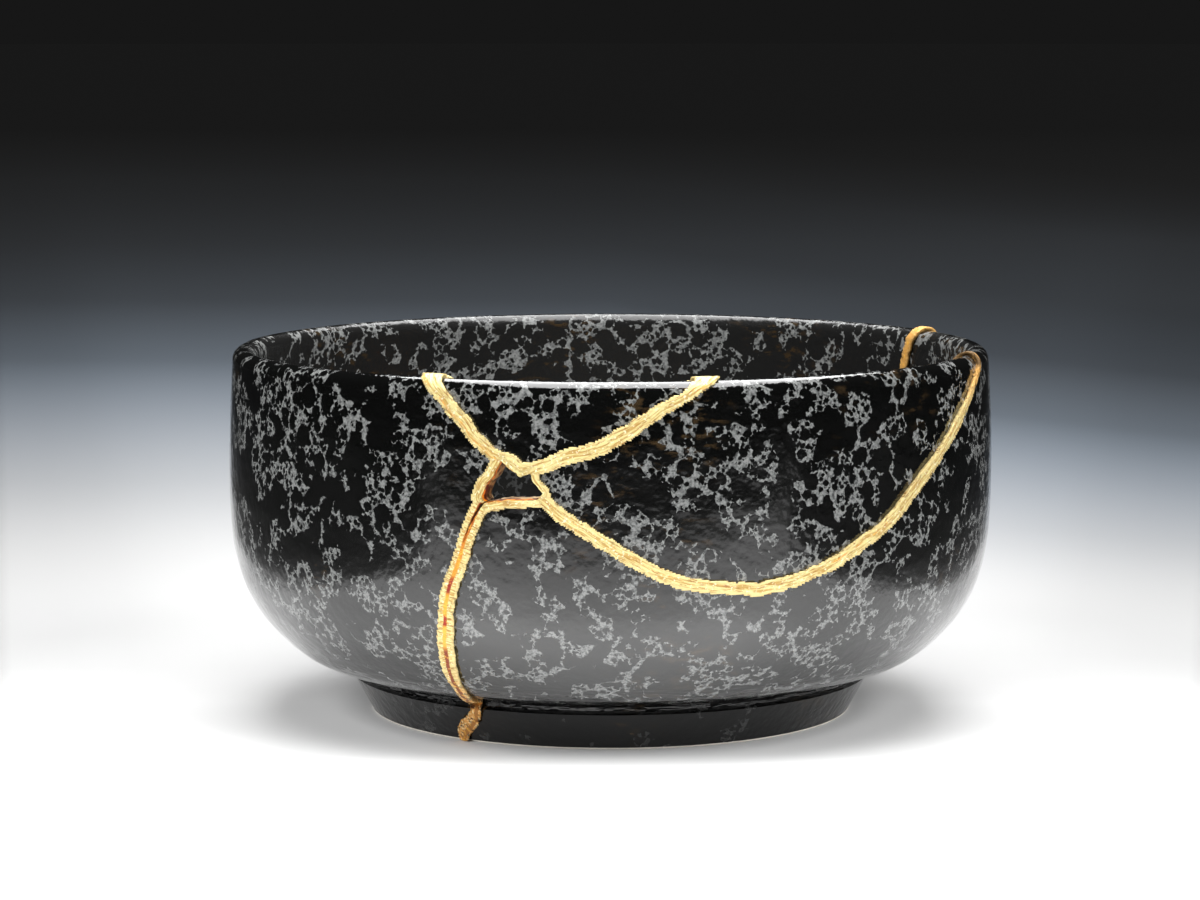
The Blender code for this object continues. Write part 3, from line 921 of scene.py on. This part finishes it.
def make_gold(cracks, lacquer):
    seams = Seams(cracks)
    shell = np.vstack([outer_face(SEAM_STEP)[::-1], rim_arc(24)[::-1][1:-1],
                       smooth_line(inner_wall(), 0.4)[::-1]])
    shell = shell[(shell[:, 0] > WELL_RADIUS - SKIN_OVERLAP) & (shell[:, 1] > SKIN_BOTTOM)]
    gold = gold_skin('gold_lacquer_brushed', shell_grid(shell, SEAM_STEP), seams)
    floor_line = smooth_line(INNER_FLOOR, 1.0)
    inside = plan_grid(WELL_RADIUS, HIDDEN_STEP, lambda far: np.interp(far, *floor_line.T), 1.0)
    under = under_face(HIDDEN_STEP)
    beneath = plan_grid(WELL_RADIUS, HIDDEN_STEP, lambda far: np.full_like(far, RECESS_HEIGHT), -1.0)
    parts = [gold_skin('floor_skin', inside, seams, TUCKED),
             gold_skin('foot_skin', shell_grid(under[under[:, 1] > SKIN_BOTTOM], HIDDEN_STEP), seams),
             gold_skin('recess_skin', beneath, seams, TUCKED)]
    for part in parts + gold_through_wall(cracks):
        combine(gold, part, 'UNION')
    combine(gold, prism('chip', chip_outline(0.0), BROKEN), 'DIFFERENCE')
    combine(gold, slit(), 'DIFFERENCE')
    bpy.ops.mesh.primitive_cube_add(size=1.0, location=(0.0, 0.0, FOOT_RELIEF * MM - 0.5))
    combine(gold, bpy.context.object, 'DIFFERENCE')
    paint_marks(gold, seams)
    grow_by_nodes(gold, brushing_tree(), lacquer=lacquer, **BRUSHING, **SWELL)
    gold.data.shade_smooth()
    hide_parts('gold_lacquer_seam')
    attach(gold, BODY)


# ---------------------------------------------------------------- finishes
RAMP_TOP = 0.1  # ramps up the bowl end at this height, in metres
# Round spots of plain dark glaze: spacing in metres, and smallest and largest radius as a share of it.
DARK_SPOTS = [(0.0060, 0.14, 0.47), (0.0040, 0.14, 0.47), (0.0025, 0.12, 0.43), (0.0013, 0.10, 0.44)]


def object_place(start):
    """Where a point lies in the bowl, as a vector and as x, y and height."""
    place = start.node('ShaderNodeTexCoord', output='Object')
    return place, *place.xyz()


def from_spots(place, spacing, smallest, largest):
    """Distance in metres from scattered round spots; below zero inside one."""
    settings = {'voronoi_dimensions': '3D', 'feature': 'F1'}
    inputs = {'Vector': place, 'Scale': 1.0 / spacing}
    distance = place.node('ShaderNodeTexVoronoi', settings, inputs, 'Distance')
    luck = place.node('ShaderNodeTexVoronoi', settings, inputs, 'Color')
    luck = place.node('ShaderNodeSeparateColor', None, {0: luck})
    return (distance - smallest - luck * (largest - smallest)) * spacing


def crystals(place, thinned):
    """How far inside a grey crystal a point is, in metres: they fill what the dark spots leave.

    Slow clouds decide where crystals grow at all, and thinned takes some away.
    """
    shake = {'Vector': place, 'Scale': 700.0, 'Detail': 3.0}
    shake = place.node('ShaderNodeTexNoise', None, shake, 'Color').vector('SUBTRACT', (0.5, 0.5, 0.5))
    ragged = place.vector('ADD', shake.scaled(0.0009))
    cloud_size, cloud_edge, cloud_depth = 0.008, 0.43, 0.012
    depth = (grain(place, cloud_size, 1.0) - cloud_edge - thinned) * cloud_depth
    for spots in DARK_SPOTS:
        depth = depth.math('MINIMUM', from_spots(ragged, *spots))
    crumbs = (grain(place, 0.0009, 2.0, 0.6) - 0.5) * 0.0011
    return depth + crumbs - 0.00016


def inside_the_bowl(place, height):
    """1 on the inner face, which lies behind the outer one, and 0 elsewhere."""
    # The shades of a ramp stay below 1, so it holds the outer wall in tenths of a metre.
    wall = height.ramp([(h * MM, (r / 100.0,) * 3) for r, h in OUTER_WALL[::-1]], RAMP_TOP)
    flat = place.vector('MULTIPLY', (1.0, 1.0, 0.0))
    radius = place.node('ShaderNodeVectorMath', {'operation': 'LENGTH'}, {0: flat}, 'Value')
    behind = wall * 0.1 - radius
    return behind.between(0.003, 0.004) * height.between(0.0125, 0.0132)


def glaze_material():
    """Black glaze with grey crystals, and bare clay where the foot stands on the table."""
    material, start, shader = new_material('mottled_black_glaze', Coat_Roughness=0.06, Coat_IOR=1.6,
                                           IOR=1.5)
    place, x, _, height = object_place(start)
    on_foot = 1.0 - height.between(0.011, 0.014)
    inner = inside_the_bowl(place, height)
    # Down in the well, painted shade darkens the crystals.
    shaded_well = inner * (1.0 - height.between(0.055, 0.074))
    bare = 1.0 - height.between(BARE_FOOT * MM * 0.8, BARE_FOOT * MM)
    # There are fewer crystals on the foot and at the far left.
    depth = crystals(place, on_foot * 0.13 + (1.0 - x.between(-0.084, -0.062)) * 0.035)
    grey = depth.between(0.0, 0.00012)
    heart = depth.between(0.0002, 0.0007)
    speckle = grain(place, 0.0006, 2.0, 0.65).between(0.34, 0.66)
    tint = mix_colour(speckle, (0.042, 0.044, 0.044), (0.195, 0.20, 0.195))
    tint = mix_colour(heart * 0.45, tint, (0.22, 0.223, 0.22))
    # The crystals fade to near black on the foot, and deep in the well as painted shade.
    tint = mix_colour((on_foot + shaded_well) * 0.85, tint, (0.012, 0.012, 0.012))
    # Brown streaks in the dark glaze: partly its own brown, partly painted glints where its dimples catch
    # the light.
    streaks = grain(place.vector('MULTIPLY', (1.0, 1.0, 2.6)), 0.004, 3.0, 0.6).between(0.52, 0.66)
    brown = streaks * grain(place, 0.028, 1.0).between(0.54, 0.66)
    # Inside the bowl the dark glaze is painted lighter: a painted haze of light.
    dark = mix_colour(inner, (0.0020, 0.0021, 0.0020), (0.009, 0.009, 0.0088))
    dark = mix_colour(brown, dark, (0.030, 0.019, 0.009))
    # Bare clay where the foot stands: partly its own pale colour, partly a painted highlight that keeps
    # the edge light in the foot's shadow.
    clay = mix_colour(grain(place, 0.002), (0.68, 0.64, 0.57), (0.88, 0.84, 0.76))
    colour = mix_colour(bare, mix_colour(grey, dark, tint), clay)
    roughness = grain(place, 0.006) * 0.05 + 0.04 + grey * 0.12 + inner * 0.16 + bare * 0.5
    # The skin of the glaze: orange peel, with a rough line at the neck of the foot.
    peel = grain(place, 0.0022, 1.0) + grain(place, 0.0007, 1.0) * 0.2 - grey * 0.15
    peel = peel * (1.0 - shaded_well * 0.8)
    neck = height.between(0.0085, 0.0100) * (1.0 - height.between(0.0145, 0.0190))
    peel = peel + grain(place.vector('MULTIPLY', (0.3, 0.3, 2.0)), 0.0026, 2.0) * neck * 6.0
    bump = place.node('ShaderNodeBump', None, {'Height': peel, 'Distance': 0.00018, 'Strength': 1.0})
    coat = 0.7 - (on_foot + inner) * 0.7
    feed(shader, Base_Color=colour, Roughness=roughness, Coat_Weight=coat, Normal=bump)
    return material


def clay_material():
    """Dark stoneware where the bowl broke."""
    material, start, shader = new_material('broken_stoneware', Roughness=0.85)
    place = object_place(start)[0]
    feed(shader, Base_Color=mix_colour(grain(place, 0.0008, 3.0), (0.11, 0.085, 0.06), (0.24, 0.19, 0.14)))
    return material


# Lacquer that shows where the gold has worn through, by height in metres.
LACQUER_SHADES = [
    (0.000, (0.40, 0.16, 0.03)), (0.0105, (0.40, 0.16, 0.03)), (0.0125, (0.18, 0.04, 0.008)),
    (0.026, (0.24, 0.035, 0.006)), (0.0275, (0.90, 0.42, 0.05)), (0.0318, (0.90, 0.42, 0.05)),
    (0.0324, (0.34, 0.02, 0.003)), (0.0342, (0.34, 0.02, 0.003)), (0.0350, (0.88, 0.40, 0.045)),
    (0.0392, (0.84, 0.34, 0.03)), (0.0400, (0.26, 0.014, 0.003)), (0.0428, (0.26, 0.014, 0.003)),
    (0.0438, (0.70, 0.27, 0.02)), (0.050, (0.56, 0.20, 0.012)), (0.0535, (0.36, 0.09, 0.006)),
    (0.060, (0.26, 0.05, 0.006)), (0.064, (0.60, 0.30, 0.07))]


def lacquer_material():
    """Pale gold powder over red-brown lacquer, worn through in the grooves and brown in the opening."""
    material, start, shader = new_material('brushed_gold_lacquer', Specular_IOR_Level=0.5)
    place, x, y, height = object_place(start)
    brush = start.node('ShaderNodeAttribute', {'attribute_name': 'brush'}, output='Vector')
    groove, edge, sunk = (start.node('ShaderNodeAttribute', {'attribute_name': name}, output='Fac')
                          for name in ('groove', 'edge', 'sunk'))
    # The gold: light and dark strokes, bright flecks, a plain edge and brown dashes along the brush.
    strokes = grain(brush.vector('MULTIPLY', (0.16, 2.0, 1.0)), 1.0, 3.0, 0.65)
    flecks = grain(place, 0.0006, 2.0, 0.6)
    gold = mix_colour(strokes.between(0.42, 0.56), (0.54, 0.33, 0.090), (0.77, 0.68, 0.31))
    gold = mix_colour(flecks.between(0.56, 0.70), gold, (0.94, 0.88, 0.62))
    gold = mix_colour(1.0 - edge.between(0.0, 0.25), gold, (0.78, 0.62, 0.28))
    dashes = grain(brush.vector('MULTIPLY', (0.40, 3.2, 1.0)), 1.0, 2.0, 0.6).between(0.58, 0.66)
    gold = mix_colour(dashes, gold, (0.42, 0.21, 0.05))
    # It is more orange behind and at the top right, and near black where it crosses the rim there.
    more_orange = y.between(0.01, 0.04).math('MAXIMUM', x.between(0.050, 0.062) * height.between(0.074, 0.083))
    gold = mix_colour(more_orange * 0.7, gold, (0.72, 0.33, 0.06))
    dark_on_rim = height.between(0.0830, 0.0845) * x.between(0.05, 0.06) * (1.0 - y.between(-0.02, -0.01))
    gold = mix_colour(dark_on_rim * 0.85, gold, (0.020, 0.012, 0.008))
    # On the foot it is a copper crust.
    crust = grain(place, 0.0011, 2.0, 0.6)
    copper = mix_colour(crust.between(0.40, 0.52), (0.10, 0.028, 0.008), (0.80, 0.40, 0.10))
    copper = mix_colour(flecks.between(0.54, 0.62), copper, (1.0, 0.80, 0.44))
    gold = mix_colour(1.0 - height.between(0.011, 0.022), gold, copper)
    # In the grooves it is worn through to the lacquer.
    lacquer = height.ramp(LACQUER_SHADES, RAMP_TOP)
    lacquer = mix_colour(crust.between(0.52, 0.62) * 0.7, lacquer, (0.86, 0.46, 0.06))
    patches = grain(place, 0.0021, 1.0)
    worn = (groove + (strokes - 0.5) * 0.4 + (patches - 0.5) * 0.35).between(0.13, 0.32)
    gold = mix_colour(worn, gold, lacquer)
    # In the opening: rust near the face, pale crust deeper in and higher up, and painted shade, near
    # black, deep in the slit.
    in_opening = (sunk + (patches - 0.5) * 0.9).between(0.05, 0.35)
    pale = grain(place, 0.0017, 3.0).between(0.40, 0.62)
    pale = mix_colour(pale, (0.13, 0.05, 0.018), (0.78, 0.56, 0.29))
    rust = mix_colour(patches.between(0.48, 0.58), (1.0, 0.34, 0.025), (0.14, 0.008, 0.003))
    tide = sunk + height.between(0.062, 0.067) * 1.3
    lining = mix_colour(tide.between(2.2, 3.0), rust, pale)
    # Deep in the slit the lining is painted shade, near black.
    lining = mix_colour(sunk.between(IN_SLIT * 0.45, IN_SLIT * 0.5), lining, (0.006, 0.003, 0.002))
    colour = mix_colour(in_opening, gold, lining)
    solid = (1.0 - in_opening) * (1.0 - worn)
    grains = flecks * 0.5 + strokes - dashes * 0.6
    bump = place.node('ShaderNodeBump', None, {'Height': grains, 'Distance': 0.0004, 'Strength': 0.7})
    feed(shader, Base_Color=colour, Roughness=strokes * 0.25 + 0.35, Metallic=solid * 0.35, Normal=bump)
    return material


# ---------------------------------------------------------------- studio
# Painted light on the paper sweep, as (metres, share): how its brightness falls off behind the bowl, in
# front of it, in a painted patch of glare in the middle of the front, and to the sides.  The last is its
# painted glow far behind.
BEHIND = [(0.0, 1.0), (0.02, 0.88), (0.05, 0.78), (0.09, 0.72), (0.15, 0.69), (0.27, 0.565), (0.36, 0.46),
          (0.41, 0.41), (0.60, 0.28), (0.85, 0.122), (1.2, 0.052), (1.7, 0.033), (2.6, 0.033), (4.0, 0.0)]
AHEAD = [(0.0, 1.0), (0.07, 1.0), (0.12, 1.1), (0.15, 0.96), (0.20, 0.80), (0.27, 0.6), (0.33, 0.42),
         (0.39, 0.25), (0.45, 0.10), (0.52, 0.04), (4.0, 0.01)]
GLARE = [(0.0, 0.0), (0.073, 0.0), (0.085, 0.65), (0.11, 0.62), (0.14, 0.08), (0.16, 0.0), (4.0, 0.0)]
ASIDE = [(0.0, 1.0), (0.07, 1.0), (0.095, 0.92), (0.115, 0.83), (0.144, 0.80), (0.153, 0.45),
         (0.168, 0.20), (0.19, 0.10), (0.24, 0.06), (0.32, 0.03), (4.0, 0.01)]
GLOW_BEHIND = [(0.0, 0.0), (0.9, 0.0), (1.2, 0.008), (1.7, 0.012), (2.6, 0.012), (4.0, 0.009)]
SWEEP_LENGTH = 4.0
PAPER = 0.59  # the paper's own colour where the share is 1
CAMERA_AWAY, CAMERA_HEIGHT = 0.870, 0.1665  # from the middle of the bowl, in metres
CAMERA_TILT = 6.927  # degrees down
FRAME_WIDTH, LENS_LENGTH = 36.0, 110.7
VIEW_MIDDLE = 0.0025  # the view's middle is this far left of the bowl's
VIEW_SLOPE = 0.165  # how fast half its width grows with the distance


def fade(distance, stops):
    """Share along the sweep for a distance in metres."""
    return distance.ramp([(at, (share,) * 3) for at, share in stops], SWEEP_LENGTH)


def floor_material():
    """Pale paper sweep with painted light: it darkens behind the bowl and ends in the dark at its sides
    and front.
    """
    material, start, shader = new_material('studio_floor', Roughness=0.9, Specular_IOR_Level=0.1,
                                           Emission_Strength=1.0)
    _, x, y, _ = object_place(start)
    behind = y.math('MAXIMUM', 0.0)
    ahead = 0.0 - y.math('MINIMUM', 0.0)
    # The pale part widens behind the bowl as the camera's view does, and in front of it in a curve.
    side = (x + VIEW_MIDDLE).math('ABSOLUTE')
    spread = (ahead - 0.04).math('MAXIMUM', 0.0)
    aside = side - behind * VIEW_SLOPE - spread * spread * 2.6
    # A painted patch of glare on the paper in front of the bowl.
    glare = fade(ahead, GLARE) * (1.0 - side.between(0.04, 0.09))
    # The painted light falls off sooner towards the right, along lines that run away from the camera.
    slanted = behind * (1.0 + x.math('MAXIMUM', 0.0) * 3.5 / (behind + CAMERA_AWAY))
    share = fade(slanted, BEHIND) * (fade(ahead, AHEAD) + glare) * fade(aside, ASIDE)
    tone = mix_colour(slanted.between(0.2, 0.9), (1.0, 1.0, 1.0), (0.82, 0.96, 1.14))
    colour = tone.vector('MULTIPLY', share * PAPER)
    # The paper far behind has a painted glow.
    feed(shader, Base_Color=colour, Emission_Color=fade(behind, GLOW_BEHIND))
    return material


def soft_light(name, place, aim, size, power, highlight=True):
    """Area light; one without highlight only fills the shadows."""
    lamp = bpy.data.lights.new(name, 'AREA')
    lamp.shape = 'RECTANGLE'
    lamp.size, lamp.size_y = size
    lamp.energy = power
    box = bpy.data.objects.new(name, lamp)
    box.location = place
    box.visible_glossy = highlight
    box.rotation_euler = (Vector(aim) - Vector(place)).to_track_quat('-Z', 'Y').to_euler()
    bpy.context.scene.collection.objects.link(box)


def make_studio():
    bpy.ops.mesh.primitive_circle_add(vertices=96, radius=14.0, fill_type='NGON')
    floor = bpy.context.object
    floor.name = 'studio_floor'
    floor.data.materials.append(floor_material())
    soft_light('overhead_softbox', (0.073, 0.35, 1.15), (0.073, 0.35, 0.0), (0.975, 2.0), 41.0)
    soft_light('left_fill', (-0.90, -0.60, 0.72), (0.0, -0.05, 0.03), (0.75, 0.75), 21.5, False)
    soft_light('right_fill', (0.90, -0.60, 0.72), (0.0, -0.05, 0.03), (0.75, 0.75), 21.0, False)
    world = bpy.data.worlds.new('dark_room')
    world.use_nodes = True
    world.node_tree.nodes['Background'].inputs['Color'].default_value = (0.0085, 0.0085, 0.0085, 1.0)
    bpy.context.scene.world = world


def make_camera():
    lens = bpy.data.cameras.new('camera')
    lens.sensor_width = FRAME_WIDTH
    lens.lens = LENS_LENGTH
    lens.shift_x = -0.0088
    camera = bpy.data.objects.new('camera', lens)
    camera.location = (0.0, -CAMERA_AWAY, CAMERA_HEIGHT)
    camera.rotation_euler = (math.radians(90.0 - CAMERA_TILT), 0.0, 0.0)
    bpy.context.scene.collection.objects.link(camera)
    bpy.context.scene.camera = camera
    bpy.context.scene.view_settings.view_transform = 'Standard'


def main():
    cracks = all_cracks()
    make_sherds(cracks, glaze_material(), clay_material())
    make_gold(cracks, lacquer_material())
    make_studio()
    make_camera()


main()
